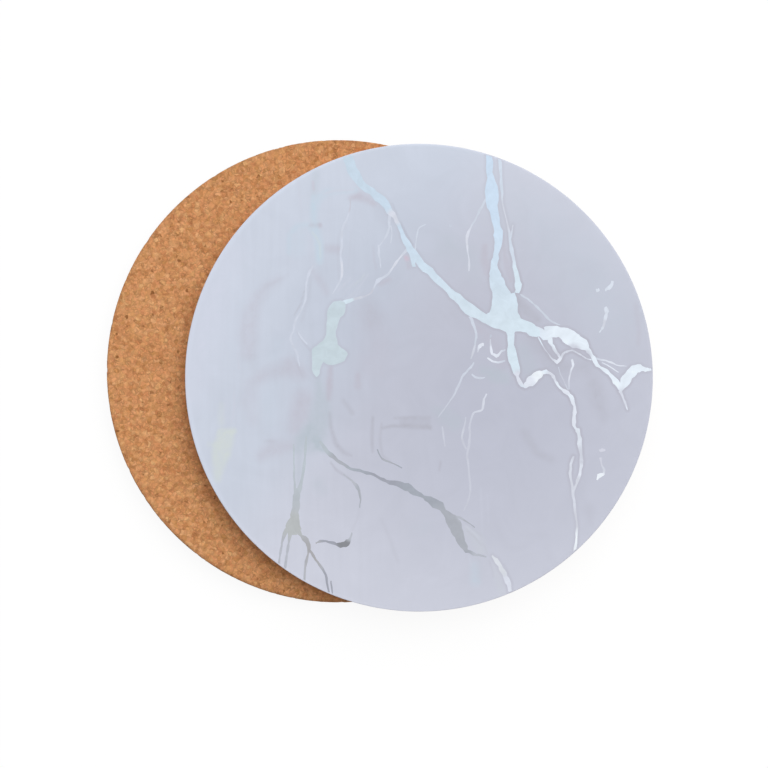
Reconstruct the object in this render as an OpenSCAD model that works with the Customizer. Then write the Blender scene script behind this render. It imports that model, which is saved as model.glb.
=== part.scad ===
// Two round drink coasters: cork backing, hardboard core, marble decor laminate with pressed foil veins.
// The lower one lies print side down, and the upper one lies on its cork, print side up.
// Origin: centre of the face that rests on the table. +Z up, +X to the right, +Y away from the viewer.

/* [Coaster] */
// Diameter of a coaster
disc_d = 100; // [80:1:120]
// Thickness of the cork pad
cork_t = 1.6; // [1:0.1:3]
// Thickness of the glue film between the cork and the board
glue_t = 0.1; // [0.06:0.02:0.3]
// Thickness of the hardboard core
board_t = 3; // [2:0.1:5]
// Thickness of the marble decor laminate
laminate_t = 0.3; // [0.25:0.05:0.8]

/* [Edges] */
// Radius that softens the outer edge of the cork
cork_round = 0.35; // [0.1:0.05:0.8]
// Radius that softens the outer edge of the laminate
laminate_round = 0.2; // [0.1:0.02:0.24]
// Thickness of the lacquer that seals the edge of the board
lacquer_t = 0.15; // [0.1:0.05:0.4]
// How far the glue film stays back from the edge
glue_setback = 0.6; // [0.3:0.1:2]

/* [Foil veins] */
// Depth of the foil, pressed in flush with the print
foil_t = 0.08; // [0.04:0.01:0.12]
// How far the foil stops short of the softened edge
foil_setback = 0.1; // [0.05:0.05:1]
// Narrowest hairline that the foil is cut to
hairline_w = 0.2; // [0.12:0.02:0.4]
// How far the torn edge of the foil wanders off a smooth line
edge_wander = 0.16; // [0:0.02:0.3]

/* [Pair] */
// How far the upper coaster lies to the right of the lower one
upper_x = 17.4; // [-40:0.2:40]
// How far the upper coaster lies behind the lower one
upper_y = -1.4; // [-40:0.2:40]
// Turn of the lower coaster about its own axis
lower_turn = 140; // [0:5:355]

/* [Hidden] */
// Steps in a full circle, and in the small circle that softens an edge
$fn = 180;
round_fn = 48;
// Overrun of the cuts past the face that they open through
cut_over = 0.5;
coaster_t = cork_t + glue_t + board_t + laminate_t;
disc_r = disc_d / 2;
board_r = disc_r - lacquer_t;
board_z = cork_t + glue_t;
laminate_z = board_z + board_t;
foil_z = coaster_t - foil_t;
face_r = disc_r - laminate_round;
foil_r = face_r - foil_setback;

// Each vein is a row of stations along its middle: place across, place up and full width,
// all as shares of the coaster's radius, as they lie on the upper coaster seen from above.

// Icy silver foil: the wide vein from the upper left rim down to the hub
diagonal_vein_shares = [
    [-0.315, 0.985, 0.042], [-0.306, 0.945, 0.042], [-0.284, 0.890, 0.045], [-0.262, 0.850, 0.039],
    [-0.238, 0.820, 0.032], [-0.202, 0.795, 0.031], [-0.175, 0.772, 0.036], [-0.142, 0.742, 0.034],
    [-0.124, 0.710, 0.027], [-0.102, 0.685, 0.019], [-0.088, 0.655, 0.015], [-0.073, 0.620, 0.018],
    [-0.055, 0.580, 0.025], [-0.037, 0.550, 0.032], [-0.012, 0.517, 0.030], [0.012, 0.483, 0.034],
    [0.046, 0.454, 0.033], [0.078, 0.421, 0.031], [0.112, 0.388, 0.026], [0.145, 0.357, 0.033],
    [0.180, 0.326, 0.039], [0.214, 0.294, 0.050], [0.255, 0.268, 0.041], [0.299, 0.250, 0.038],
];
// Short tooth under the middle of the diagonal vein
diagonal_tooth_shares = [
    [-0.030, 0.530, 0.024], [-0.024, 0.500, 0.022], [-0.020, 0.474, 0.012],
];
// The vein from the top rim down to the hub
top_vein_shares = [
    [0.300, 0.962, 0.026], [0.301, 0.920, 0.029], [0.303, 0.877, 0.027], [0.308, 0.834, 0.039],
    [0.312, 0.797, 0.060], [0.312, 0.754, 0.052], [0.320, 0.712, 0.039], [0.328, 0.675, 0.033],
    [0.335, 0.642, 0.032], [0.340, 0.610, 0.039], [0.339, 0.578, 0.034], [0.334, 0.545, 0.023],
    [0.327, 0.513, 0.027], [0.322, 0.482, 0.028], [0.323, 0.450, 0.045], [0.331, 0.424, 0.050],
];
// Outline of the hub where the wide veins meet
hub_outline_shares = [
    [0.300, 0.430], [0.308, 0.385], [0.314, 0.345], [0.311, 0.308], [0.300, 0.280], [0.288, 0.270],
    [0.262, 0.264], [0.268, 0.238], [0.306, 0.220], [0.342, 0.206], [0.372, 0.196], [0.380, 0.174],
    [0.390, 0.158], [0.402, 0.169], [0.412, 0.199], [0.459, 0.190], [0.484, 0.176], [0.516, 0.176],
    [0.512, 0.208], [0.494, 0.226], [0.465, 0.243], [0.435, 0.254], [0.425, 0.279], [0.421, 0.312],
    [0.418, 0.342], [0.408, 0.362], [0.394, 0.362], [0.384, 0.374], [0.371, 0.398], [0.360, 0.424],
    [0.342, 0.446],
];
// Outline of the pale island left of the middle
island_outline_shares = [
    [-0.350, 0.330], [-0.318, 0.322], [-0.312, 0.298], [-0.324, 0.268], [-0.342, 0.244], [-0.350, 0.215],
    [-0.355, 0.180], [-0.345, 0.142], [-0.318, 0.118], [-0.303, 0.100], [-0.320, 0.074], [-0.352, 0.056],
    [-0.385, 0.056], [-0.408, 0.064], [-0.420, 0.048], [-0.424, 0.018], [-0.438, 0.004], [-0.452, 0.018],
    [-0.457, 0.060], [-0.458, 0.105], [-0.450, 0.130], [-0.424, 0.146], [-0.404, 0.168], [-0.394, 0.205],
    [-0.395, 0.250], [-0.388, 0.292], [-0.374, 0.318],
];

// Pearl foil: the strand right of the top vein
top_strand_shares = [
    [0.344, 0.941, 0.011], [0.349, 0.888, 0.013], [0.352, 0.834, 0.012], [0.355, 0.786, 0.010],
    [0.358, 0.743, 0.006], [0.369, 0.695, 0.006], [0.381, 0.647, 0.007], [0.389, 0.594, 0.012],
    [0.396, 0.546, 0.014], [0.406, 0.498, 0.015], [0.414, 0.450, 0.017], [0.423, 0.412, 0.026],
    [0.424, 0.388, 0.028], [0.420, 0.362, 0.020],
];
top_twig_shares = [[0.402, 0.653, 0.005], [0.396, 0.618, 0.006], [0.390, 0.588, 0.006]];
// The wide branch to the right rim, with its turn back up
right_branch_shares = [
    [0.494, 0.204, 0.036], [0.519, 0.196, 0.031], [0.533, 0.186, 0.050], [0.553, 0.193, 0.059],
    [0.576, 0.197, 0.047], [0.601, 0.195, 0.046], [0.623, 0.187, 0.054], [0.646, 0.171, 0.069],
    [0.670, 0.156, 0.058], [0.693, 0.147, 0.052], [0.709, 0.135, 0.040], [0.720, 0.121, 0.023],
    [0.733, 0.104, 0.015], [0.746, 0.084, 0.019], [0.762, 0.054, 0.014], [0.789, 0.036, 0.014],
    [0.814, 0.017, 0.016], [0.832, -0.005, 0.019], [0.848, -0.025, 0.027], [0.861, -0.046, 0.018],
];
right_turn_shares = [
    [0.859, -0.057, 0.011], [0.868, -0.038, 0.031], [0.881, -0.016, 0.042], [0.896, 0.007, 0.041],
    [0.914, 0.027, 0.040], [0.930, 0.039, 0.038], [0.945, 0.040, 0.031], [0.961, 0.037, 0.020],
    [0.977, 0.034, 0.014], [0.992, 0.035, 0.011], [1.010, 0.032, 0.006],
];
right_tail_shares = [
    [0.859, -0.056, 0.011], [0.869, -0.077, 0.010], [0.880, -0.104, 0.008], [0.891, -0.138, 0.005],
];
// The branch that drops from the hub, turns up and runs down to the lower right rim
drop_branch_shares = [
    [0.394, 0.202, 0.027], [0.393, 0.161, 0.028], [0.395, 0.118, 0.035], [0.403, 0.076, 0.041],
    [0.415, 0.039, 0.034], [0.421, 0.005, 0.017], [0.433, -0.023, 0.016], [0.447, -0.038, 0.012],
];
long_branch_shares = [
    [0.449, -0.043, 0.012], [0.458, -0.031, 0.023], [0.474, -0.020, 0.039], [0.492, -0.002, 0.040],
    [0.512, 0.013, 0.033], [0.528, 0.021, 0.021], [0.544, 0.025, 0.016], [0.560, 0.019, 0.012],
    [0.575, 0.005, 0.012], [0.583, -0.013, 0.011], [0.595, -0.033, 0.009], [0.612, -0.051, 0.012],
    [0.634, -0.064, 0.017], [0.650, -0.082, 0.017], [0.660, -0.107, 0.015], [0.666, -0.135, 0.012],
    [0.664, -0.162, 0.017], [0.662, -0.190, 0.016], [0.667, -0.214, 0.010], [0.678, -0.224, 0.017],
    [0.685, -0.247, 0.016], [0.687, -0.280, 0.018], [0.693, -0.330, 0.015], [0.694, -0.376, 0.013],
    [0.687, -0.412, 0.013], [0.677, -0.443, 0.012], [0.668, -0.466, 0.010], [0.659, -0.486, 0.007],
];
rim_strand_shares = [
    [0.661, -0.335, 0.007], [0.650, -0.371, 0.012], [0.646, -0.407, 0.011], [0.652, -0.445, 0.010],
    [0.658, -0.482, 0.012], [0.662, -0.522, 0.012], [0.667, -0.566, 0.010], [0.674, -0.615, 0.008],
    [0.675, -0.662, 0.009], [0.671, -0.704, 0.010], [0.665, -0.748, 0.011],
];
// The two loops that hang under the right branch
outer_loop_shares = [
    [0.510, 0.173, 0.006], [0.524, 0.146, 0.005], [0.541, 0.118, 0.005], [0.557, 0.097, 0.005],
    [0.571, 0.079, 0.007], [0.585, 0.070, 0.014], [0.596, 0.069, 0.016], [0.605, 0.083, 0.012],
    [0.616, 0.101, 0.009], [0.632, 0.112, 0.009], [0.655, 0.116, 0.007], [0.676, 0.107, 0.007],
    [0.698, 0.093, 0.006], [0.719, 0.081, 0.005], [0.737, 0.076, 0.005],
];
inner_loop_shares = [
    [0.558, 0.166, 0.022], [0.568, 0.143, 0.015], [0.577, 0.125, 0.013], [0.588, 0.108, 0.012],
    [0.598, 0.094, 0.010], [0.606, 0.084, 0.008],
];
// The bright tail at the bottom
bottom_tail_shares = [
    [0.312, -0.760, 0.007], [0.329, -0.779, 0.016], [0.345, -0.803, 0.019], [0.358, -0.826, 0.019],
    [0.370, -0.850, 0.021], [0.380, -0.873, 0.022], [0.387, -0.894, 0.019], [0.392, -0.920, 0.010],
];

// Thin silver foil hairlines
upper_hair_shares = [
    [0.288, 0.762, 0.012], [0.269, 0.732, 0.010], [0.256, 0.706, 0.010], [0.243, 0.680, 0.007],
    [0.226, 0.650, 0.007], [0.211, 0.622, 0.011], [0.205, 0.590, 0.012], [0.206, 0.560, 0.008],
    [0.212, 0.520, 0.005], [0.215, 0.485, 0.008], [0.214, 0.455, 0.005],
];
arch_hair_shares = [
    [-0.016, 0.545, 0.006], [-0.012, 0.585, 0.006], [-0.006, 0.620, 0.006], [0.002, 0.642, 0.006],
    [0.030, 0.655, 0.004],
];
left_fork_shares = [
    [-0.125, 0.705, 0.012], [-0.127, 0.670, 0.010], [-0.127, 0.640, 0.010], [-0.140, 0.605, 0.008],
    [-0.158, 0.578, 0.005], [-0.170, 0.563, 0.005],
];
left_fork_twig_shares = [[-0.120, 0.650, 0.005], [-0.115, 0.615, 0.006], [-0.121, 0.575, 0.004]];
left_drip_shares = [
    [-0.173, 0.568, 0.006], [-0.171, 0.535, 0.010], [-0.167, 0.505, 0.007], [-0.163, 0.470, 0.004],
];
island_hair_shares = [
    [-0.045, 0.552, 0.014], [-0.072, 0.524, 0.008], [-0.096, 0.494, 0.009], [-0.112, 0.470, 0.009],
    [-0.132, 0.442, 0.008], [-0.152, 0.429, 0.012], [-0.176, 0.414, 0.014], [-0.191, 0.388, 0.007],
    [-0.204, 0.362, 0.007], [-0.232, 0.348, 0.008], [-0.264, 0.339, 0.011], [-0.294, 0.330, 0.016],
    [-0.330, 0.318, 0.016],
];
left_hair_shares = [
    [-0.294, 0.772, 0.005], [-0.293, 0.735, 0.006], [-0.301, 0.695, 0.007], [-0.320, 0.655, 0.010],
    [-0.330, 0.610, 0.011], [-0.330, 0.560, 0.010], [-0.335, 0.515, 0.009], [-0.328, 0.475, 0.011],
    [-0.330, 0.435, 0.010], [-0.346, 0.395, 0.007], [-0.370, 0.358, 0.005],
];
outer_hair_shares = [
    [-0.452, 0.480, 0.006], [-0.465, 0.455, 0.012], [-0.477, 0.425, 0.008], [-0.482, 0.380, 0.009],
    [-0.485, 0.335, 0.009], [-0.498, 0.298, 0.007], [-0.518, 0.262, 0.008], [-0.531, 0.232, 0.009],
    [-0.537, 0.198, 0.007], [-0.550, 0.165, 0.010], [-0.536, 0.135, 0.010], [-0.523, 0.108, 0.009],
    [-0.515, 0.078, 0.007], [-0.510, 0.048, 0.004],
];
outer_hair_twig_shares = [[-0.518, 0.198, 0.004], [-0.500, 0.168, 0.008], [-0.476, 0.142, 0.007]];
centre_hair_shares = [
    [0.218, 0.262, 0.014], [0.231, 0.232, 0.012], [0.241, 0.205, 0.011], [0.245, 0.172, 0.009],
    [0.239, 0.140, 0.008], [0.232, 0.108, 0.009], [0.222, 0.080, 0.006],
];
centre_tail_shares = [
    [0.235, 0.066, 0.006], [0.222, 0.044, 0.009], [0.201, 0.024, 0.009], [0.186, 0.004, 0.009],
    [0.174, -0.022, 0.009], [0.162, -0.050, 0.010], [0.146, -0.080, 0.007], [0.127, -0.108, 0.005],
    [0.105, -0.138, 0.005], [0.082, -0.170, 0.004],
];
centre_hook_shares = [
    [0.226, 0.016, 0.006], [0.241, 0.002, 0.010], [0.261, -0.002, 0.009], [0.282, 0.001, 0.005],
];
drop_mark_shares = [
    [0.278, 0.142, 0.010], [0.266, 0.140, 0.018], [0.255, 0.126, 0.009], [0.251, 0.108, 0.005],
];
cup_mark_shares = [
    [0.305, 0.165, 0.005], [0.307, 0.130, 0.008], [0.314, 0.103, 0.012], [0.330, 0.093, 0.014],
    [0.343, 0.101, 0.010], [0.354, 0.114, 0.008], [0.370, 0.119, 0.007],
];
arc_mark_shares = [
    [0.293, 0.086, 0.006], [0.313, 0.070, 0.009], [0.339, 0.066, 0.009], [0.369, 0.072, 0.006],
];
low_hair_shares = [
    [0.289, -0.068, 0.006], [0.279, -0.092, 0.009], [0.274, -0.118, 0.010], [0.269, -0.140, 0.009],
    [0.247, -0.144, 0.008], [0.232, -0.154, 0.008], [0.222, -0.180, 0.008], [0.217, -0.215, 0.009],
    [0.217, -0.255, 0.010], [0.214, -0.290, 0.011], [0.207, -0.318, 0.010], [0.209, -0.360, 0.008],
    [0.215, -0.410, 0.009], [0.219, -0.460, 0.009], [0.217, -0.505, 0.007], [0.203, -0.543, 0.006],
    [0.191, -0.570, 0.004],
];
low_hair_twig_shares = [
    [0.200, -0.168, 0.005], [0.196, -0.205, 0.007], [0.185, -0.240, 0.009], [0.187, -0.272, 0.009],
    [0.202, -0.306, 0.008],
];
low_left_hair_shares = [[0.100, -0.208, 0.005], [0.105, -0.250, 0.008], [0.112, -0.294, 0.005]];
twig_hair_shares = [
    [0.652, 0.078, 0.009], [0.658, 0.066, 0.011], [0.657, 0.048, 0.009], [0.649, 0.026, 0.007],
    [0.643, 0.002, 0.007], [0.641, -0.025, 0.007], [0.641, -0.051, 0.006],
];
twig_pair_shares = [
    [0.596, 0.045, 0.004], [0.605, 0.015, 0.005], [0.618, -0.011, 0.005], [0.629, -0.035, 0.005],
    [0.636, -0.051, 0.004],
];
right_hair_shares = [
    [0.757, 0.083, 0.010], [0.777, 0.077, 0.007], [0.798, 0.073, 0.007], [0.823, 0.065, 0.008],
    [0.842, 0.055, 0.005], [0.862, 0.051, 0.005], [0.887, 0.049, 0.004],
];
right_hair_pair_shares = [
    [0.783, 0.065, 0.004], [0.804, 0.054, 0.005], [0.829, 0.039, 0.005], [0.853, 0.022, 0.005],
];
hub_hair_shares = [
    [0.433, 0.356, 0.005], [0.447, 0.347, 0.008], [0.463, 0.338, 0.008], [0.481, 0.323, 0.007],
    [0.500, 0.306, 0.009], [0.518, 0.289, 0.008], [0.536, 0.270, 0.008], [0.557, 0.248, 0.009],
    [0.579, 0.234, 0.007], [0.603, 0.226, 0.004],
];

// Smoky pewter foil: the trunk at the lower left with its feet
trunk_shares = [
    [-0.521, -0.472, 0.022], [-0.522, -0.505, 0.030], [-0.525, -0.540, 0.031], [-0.529, -0.574, 0.033],
    [-0.532, -0.600, 0.040], [-0.536, -0.625, 0.058], [-0.538, -0.646, 0.066], [-0.538, -0.672, 0.036],
];
trunk_left_shares = [
    [-0.535, -0.285, 0.005], [-0.534, -0.320, 0.007], [-0.534, -0.360, 0.007], [-0.533, -0.403, 0.008],
    [-0.532, -0.445, 0.009], [-0.529, -0.485, 0.011], [-0.526, -0.520, 0.014],
];
trunk_right_shares = [
    [-0.481, -0.250, 0.006], [-0.484, -0.290, 0.010], [-0.487, -0.340, 0.011], [-0.493, -0.395, 0.011],
    [-0.500, -0.435, 0.013], [-0.510, -0.475, 0.016], [-0.517, -0.510, 0.020],
];
left_foot_shares = [
    [-0.566, -0.645, 0.018], [-0.581, -0.689, 0.011], [-0.587, -0.719, 0.009], [-0.592, -0.749, 0.009],
    [-0.597, -0.783, 0.009], [-0.600, -0.812, 0.009],
];
middle_foot_shares = [
    [-0.547, -0.650, 0.020], [-0.554, -0.689, 0.012], [-0.559, -0.723, 0.010], [-0.564, -0.753, 0.010],
    [-0.568, -0.783, 0.010], [-0.573, -0.820, 0.010],
];
right_foot_shares = [
    [-0.520, -0.650, 0.024], [-0.502, -0.676, 0.016], [-0.482, -0.694, 0.022], [-0.472, -0.716, 0.019],
    [-0.470, -0.738, 0.011], [-0.478, -0.770, 0.010], [-0.486, -0.810, 0.010], [-0.490, -0.880, 0.009],
];
far_foot_shares = [
    [-0.470, -0.735, 0.011], [-0.450, -0.762, 0.010], [-0.433, -0.790, 0.010], [-0.412, -0.816, 0.011],
    [-0.399, -0.843, 0.010], [-0.392, -0.875, 0.009], [-0.383, -0.940, 0.009],
];
far_foot_twig_shares = [[-0.376, -0.868, 0.005], [-0.373, -0.895, 0.006], [-0.368, -0.945, 0.005]];
// The dark vein that runs down across the middle
dark_vein_shares = [
    [-0.424, -0.272, 0.010], [-0.402, -0.302, 0.016], [-0.376, -0.331, 0.019], [-0.348, -0.353, 0.014],
    [-0.321, -0.371, 0.013], [-0.293, -0.388, 0.012], [-0.256, -0.397, 0.012], [-0.222, -0.406, 0.013],
    [-0.193, -0.415, 0.011], [-0.166, -0.429, 0.012], [-0.140, -0.443, 0.014], [-0.108, -0.449, 0.021],
    [-0.079, -0.458, 0.026], [-0.052, -0.467, 0.034], [-0.029, -0.482, 0.029], [-0.005, -0.497, 0.022],
    [0.020, -0.508, 0.014], [0.044, -0.522, 0.029], [0.069, -0.537, 0.039], [0.090, -0.549, 0.036],
    [0.108, -0.570, 0.021], [0.124, -0.590, 0.036], [0.143, -0.613, 0.053], [0.157, -0.638, 0.055],
    [0.167, -0.664, 0.046], [0.177, -0.691, 0.037], [0.190, -0.716, 0.030], [0.201, -0.736, 0.020],
    [0.208, -0.748, 0.007],
];
dark_vein_top_shares = [
    [0.148, -0.592, 0.016], [0.173, -0.598, 0.010], [0.201, -0.613, 0.006], [0.239, -0.640, 0.004],
];
dark_vein_foot_shares = [
    [0.198, -0.733, 0.012], [0.222, -0.748, 0.014], [0.244, -0.756, 0.012], [0.265, -0.760, 0.009],
    [0.289, -0.766, 0.005],
];
short_dark_shares = [
    [-0.322, -0.413, 0.004], [-0.298, -0.432, 0.006], [-0.277, -0.449, 0.012], [-0.263, -0.469, 0.014],
    [-0.253, -0.495, 0.010], [-0.250, -0.522, 0.006], [-0.253, -0.556, 0.004],
];
hook_shares = [
    [-0.441, -0.708, 0.006], [-0.423, -0.699, 0.010], [-0.398, -0.699, 0.010], [-0.373, -0.705, 0.011],
    [-0.354, -0.711, 0.014], [-0.335, -0.715, 0.020], [-0.316, -0.712, 0.027], [-0.302, -0.700, 0.020],
    [-0.292, -0.683, 0.009], [-0.286, -0.662, 0.005],
];
faint_dark_shares = [
    [-0.178, -0.306, 0.004], [-0.164, -0.338, 0.007], [-0.144, -0.354, 0.008], [-0.110, -0.366, 0.006],
    [-0.072, -0.386, 0.004],
];

// Small loose foil flecks
fleck_hook_shares = [
    [0.828, 0.414, 0.009], [0.824, 0.399, 0.015], [0.811, 0.383, 0.015], [0.795, 0.373, 0.009],
];
fleck_dot_shares = [[0.756, 0.373, 0.009], [0.764, 0.374, 0.016], [0.772, 0.375, 0.009]];
fleck_drop_shares = [
    [0.797, 0.303, 0.010], [0.803, 0.283, 0.018], [0.798, 0.262, 0.013], [0.793, 0.237, 0.012],
    [0.787, 0.217, 0.010], [0.779, 0.204, 0.007], [0.771, 0.193, 0.005],
];
fleck_dash_shares = [[0.770, -0.311, 0.009], [0.782, -0.310, 0.013], [0.797, -0.310, 0.009]];
fleck_bird_shares = [
    [0.776, -0.341, 0.009], [0.781, -0.373, 0.007], [0.792, -0.394, 0.010], [0.789, -0.410, 0.012],
    [0.770, -0.420, 0.017], [0.761, -0.437, 0.007],
];
fleck_upper_shares = [[0.129, 0.649, 0.008], [0.135, 0.650, 0.013], [0.142, 0.650, 0.008]];
fleck_top_shares = [[0.183, 0.786, 0.006], [0.184, 0.775, 0.009], [0.185, 0.762, 0.006]];
fleck_spot_shares = [[0.308, 0.185, 0.006], [0.307, 0.178, 0.010], [0.306, 0.171, 0.006]];

main_vein_shares = [diagonal_vein_shares, diagonal_tooth_shares, top_vein_shares];
main_outline_shares = [hub_outline_shares, island_outline_shares];
branch_vein_shares = [
    top_strand_shares, top_twig_shares, right_branch_shares, right_turn_shares, right_tail_shares,
    drop_branch_shares, long_branch_shares, rim_strand_shares, outer_loop_shares, inner_loop_shares,
    bottom_tail_shares,
];
hairline_vein_shares = [
    upper_hair_shares, arch_hair_shares, left_fork_shares, left_fork_twig_shares, left_drip_shares,
    island_hair_shares, left_hair_shares, outer_hair_shares, outer_hair_twig_shares, centre_hair_shares,
    centre_tail_shares, centre_hook_shares, drop_mark_shares, cup_mark_shares, arc_mark_shares,
    low_hair_shares, low_hair_twig_shares, low_left_hair_shares, twig_hair_shares, twig_pair_shares,
    right_hair_shares, right_hair_pair_shares, hub_hair_shares,
];
smoky_vein_shares = [
    trunk_shares, trunk_left_shares, trunk_right_shares, left_foot_shares, middle_foot_shares,
    right_foot_shares, far_foot_shares, far_foot_twig_shares, dark_vein_shares, dark_vein_top_shares,
    dark_vein_foot_shares,
    short_dark_shares, hook_shares, faint_dark_shares,
];
fleck_shares = [
    fleck_hook_shares, fleck_dot_shares, fleck_drop_shares, fleck_dash_shares, fleck_bird_shares,
    fleck_upper_shares, fleck_top_shares, fleck_spot_shares,
];

// Steps that a curve takes between two stations
curve_steps = 2;

// A point at t between b and c on the smooth curve through a, b, c and d
function curve_point(a, b, c, d, t) =
    (2 * b + (c - a) * t + (2 * a - 5 * b + 4 * c - d) * t * t + (3 * b - a - 3 * c + d) * t * t * t) / 2;

// The same stations with smooth ones between them, on an open or a closed curve
function smooth_open(rows) = let (last = len(rows) - 1) [
    for (i = [0:last - 1], k = [0:curve_steps - 1])
        curve_point(rows[max(i - 1, 0)], rows[i], rows[i + 1], rows[min(i + 2, last)], k / curve_steps),
    rows[last],
];
function smooth_closed(rows) = let (n = len(rows)) [
    for (i = [0:n - 1], k = [0:curve_steps - 1])
        curve_point(rows[(i + n - 1) % n], rows[i], rows[(i + 1) % n], rows[(i + 2) % n], k / curve_steps),
];

// Sideways direction of a vein at station i
function across(rows, i) = let (
    ahead = rows[min(i + 1, len(rows) - 1)],
    behind = rows[max(i - 1, 0)],
    way = [ahead[0] - behind[0], ahead[1] - behind[1]]
) [-way[1], way[0]] / norm(way);

// Step of a torn edge at station i, from -1 to 1: two waves out of time with each other and with
// the stations, that start elsewhere on each outline and on each of its sides
long_tear_turn = 97;
short_tear_turn = 211;
tear_start = 3600;
long_tear_share = 0.6;
function tear(rows, i, side) = let (start = tear_start * (rows[0][0] + side * rows[0][1]))
    long_tear_share * sin(long_tear_turn * i + start)
    + (1 - long_tear_share) * sin(short_tear_turn * i + 2 * start);

// A narrow vein's edge wanders less, by this share of its width at most
most_wander_share = 0.2;

// One edge of a vein, as real points on the coaster's face
function vein_edge(rows, side) = [
    for (i = [0:len(rows) - 1]) let (
        width = max(rows[i][2] * disc_r, hairline_w),
        wander = min(edge_wander, most_wander_share * width)
    )
        [rows[i][0], rows[i][1]] * disc_r
        + across(rows, i) * side * (width / 2 + wander * tear(rows, i, side))
];

// A closed outline with the same torn edge
function torn_outline(rows) = let (n = len(rows)) [
    for (i = [0:n - 1]) let (way = rows[(i + 1) % n] - rows[(i + n - 1) % n])
        rows[i] * disc_r + [-way[1], way[0]] / norm(way) * edge_wander * tear(rows, i, 1)
];
function reversed(points) = [for (i = [len(points) - 1:-1:0]) points[i]];

// Upright prisms on the outlines of the veins, from height z up by h
module veins(tables, z, h) {
    for (table = tables) {
        rows = smooth_open(table);
        translate([0, 0, z]) linear_extrude(h)
            polygon(concat(vein_edge(rows, 1), reversed(vein_edge(rows, -1))));
    }
}

module islands(tables, z, h) {
    for (table = tables) translate([0, 0, z]) linear_extrude(h) polygon(torn_outline(smooth_closed(table)));
}

module foil_limit(z, h) {
    translate([0, 0, z - cut_over]) cylinder(r = foil_r, h = h + 2 * cut_over);
}

// Forms of the foils before a vein that reaches a wider one stops at its edge
module main_form(z, h) {
    intersection() {
        union() {
            veins(main_vein_shares, z, h);
            islands(main_outline_shares, z, h);
        }
        foil_limit(z, h);
    }
}

module branch_form(z, h) {
    intersection() {
        veins(branch_vein_shares, z, h);
        foil_limit(z, h);
    }
}

module hairline_form(z, h) {
    veins(hairline_vein_shares, z, h);
}

module smoky_form(z, h) {
    intersection() {
        veins(smoky_vein_shares, z, h);
        foil_limit(z, h);
    }
}

module fleck_form(z, h) {
    veins(fleck_shares, z, h);
}

// Half section of a disc with one softened outer edge at its top
module edge_section(r, t, round_r) {
    union() {
        square([r, t - round_r]);
        square([r - round_r, t]);
        intersection() {
            translate([r - round_r, t - round_r]) circle(r = round_r, $fn = round_fn);
            square([r, t]);
        }
    }
}

// Sub-parts of one coaster, standing on its cork at z = 0
module cork_pad() {
    color([0.78, 0.56, 0.37])
        translate([0, 0, cork_t]) mirror([0, 0, 1]) rotate_extrude() edge_section(disc_r, cork_t, cork_round);
}

module glue_film() {
    color([0.93, 0.88, 0.72])
        translate([0, 0, cork_t]) cylinder(r = disc_r - glue_setback, h = glue_t);
}

module core_board() {
    color([0.45, 0.31, 0.21])
        translate([0, 0, board_z]) cylinder(r = board_r, h = board_t);
}

module edge_lacquer() {
    color([0.36, 0.25, 0.18])
        translate([0, 0, board_z]) difference() {
            cylinder(r = disc_r, h = board_t);
            translate([0, 0, -cut_over]) cylinder(r = board_r, h = board_t + 2 * cut_over);
        }
}

module decor_laminate() {
    color([0.78, 0.80, 0.86])
        difference() {
            translate([0, 0, laminate_z]) rotate_extrude() edge_section(disc_r, laminate_t, laminate_round);
            main_form(foil_z, foil_t + cut_over);
            branch_form(foil_z, foil_t + cut_over);
            hairline_form(foil_z, foil_t + cut_over);
            smoky_form(foil_z, foil_t + cut_over);
            fleck_form(foil_z, foil_t + cut_over);
        }
}

module main_veins() {
    color([0.82, 0.90, 0.96]) main_form(foil_z, foil_t);
}

module branch_veins() {
    color([0.89, 0.93, 0.97])
        difference() {
            branch_form(foil_z, foil_t);
            main_form(foil_z - cut_over, foil_t + 2 * cut_over);
        }
}

module hairline_veins() {
    color([0.85, 0.87, 0.92])
        difference() {
            hairline_form(foil_z, foil_t);
            main_form(foil_z - cut_over, foil_t + 2 * cut_over);
            branch_form(foil_z - cut_over, foil_t + 2 * cut_over);
        }
}

module smoky_veins() {
    color([0.62, 0.63, 0.67]) smoky_form(foil_z, foil_t);
}

module foil_flecks() {
    color([0.93, 0.95, 0.98]) fleck_form(foil_z, foil_t);
}

// The two places of a coaster: print side down on the table, and print side up on the other's cork
module lying_low() {
    translate([0, 0, coaster_t]) rotate([180, 0, lower_turn]) children();
}

module lying_high() {
    translate([upper_x, upper_y, coaster_t]) children();
}

module lower_cork_pad() { lying_low() cork_pad(); }
module lower_glue_film() { lying_low() glue_film(); }
module lower_core_board() { lying_low() core_board(); }
module lower_edge_lacquer() { lying_low() edge_lacquer(); }
module lower_decor_laminate() { lying_low() decor_laminate(); }
module lower_main_veins() { lying_low() main_veins(); }
module lower_branch_veins() { lying_low() branch_veins(); }
module lower_hairline_veins() { lying_low() hairline_veins(); }
module lower_smoky_veins() { lying_low() smoky_veins(); }
module lower_foil_flecks() { lying_low() foil_flecks(); }
module upper_cork_pad() { lying_high() cork_pad(); }
module upper_glue_film() { lying_high() glue_film(); }
module upper_core_board() { lying_high() core_board(); }
module upper_edge_lacquer() { lying_high() edge_lacquer(); }
module upper_decor_laminate() { lying_high() decor_laminate(); }
module upper_main_veins() { lying_high() main_veins(); }
module upper_branch_veins() { lying_high() branch_veins(); }
module upper_hairline_veins() { lying_high() hairline_veins(); }
module upper_smoky_veins() { lying_high() smoky_veins(); }
module upper_foil_flecks() { lying_high() foil_flecks(); }

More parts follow.
